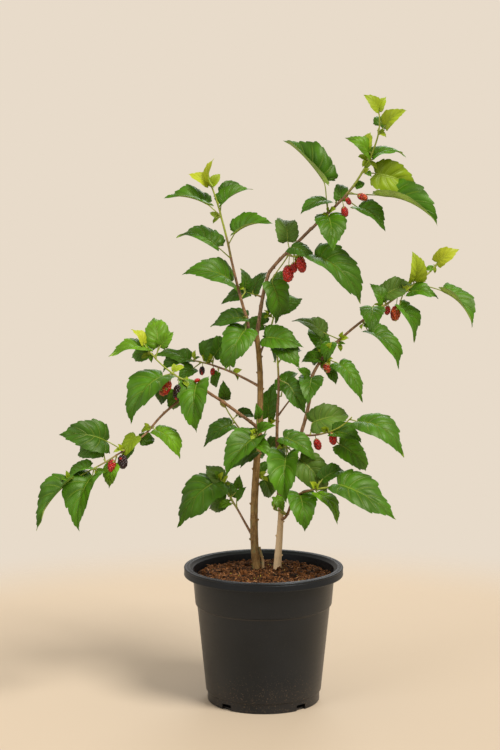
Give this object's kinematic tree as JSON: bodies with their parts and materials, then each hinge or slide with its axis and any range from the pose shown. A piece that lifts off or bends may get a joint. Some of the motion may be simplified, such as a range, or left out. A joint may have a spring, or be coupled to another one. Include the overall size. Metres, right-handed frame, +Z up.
{
  "type": "potted white mulberry",
  "caption": "Young white mulberry with two slender stems, toothed green leaves and red to dark berries, in a black plastic nursery pot filled with dark soil.",
  "frame": {"origin": "middle of the pot's flat underside, which the part stands on", "axes": "+Z up along the pot's axis, +X to the right and -Y towards the viewer of the front"},
  "size_m": [0.643, 0.2633, 0.9058],
  "materials": {
    "pot_plastic": "satin",
    "soil": "matte",
    "bark": "matte",
    "young_bark": "satin",
    "leaf": "satin"
  },
  "bodies": {
    "root": {"pot": "pot_plastic", "soil": "soil", "left_stem": "bark", "right_stem": "bark", "foot_twig": "bark", "upper_left_bough": "young_bark", "rising_bough": "young_bark", "upper_right_bough": "young_bark", "left_bough": "young_bark", "drooping_bough": "young_bark", "middle_bough": "young_bark", "right_bough": "young_bark", "lower_right_bough": "young_bark", "upper_left_leaves": "leaf", "fork_leaves": "leaf", "inner_right_leaves": "leaf", "upper_right_leaves": "leaf", "left_inner_leaves": "leaf", "left_leaves": "leaf", "drooping_leaves": "leaf", "left_low_leaves": "leaf", "front_leaves": "leaf", "back_leaves": "leaf", "upper_back_leaves": "leaf", "middle_leaves": "leaf", "crossing_leaves": "leaf", "right_leaves": "leaf", "mid_right_leaves": "leaf", "lower_right_leaves": "leaf", "centre_leaves": "leaf", "foot_leaves": "leaf", "lower_left_leaves": "leaf"}
  },
  "joints": []
}
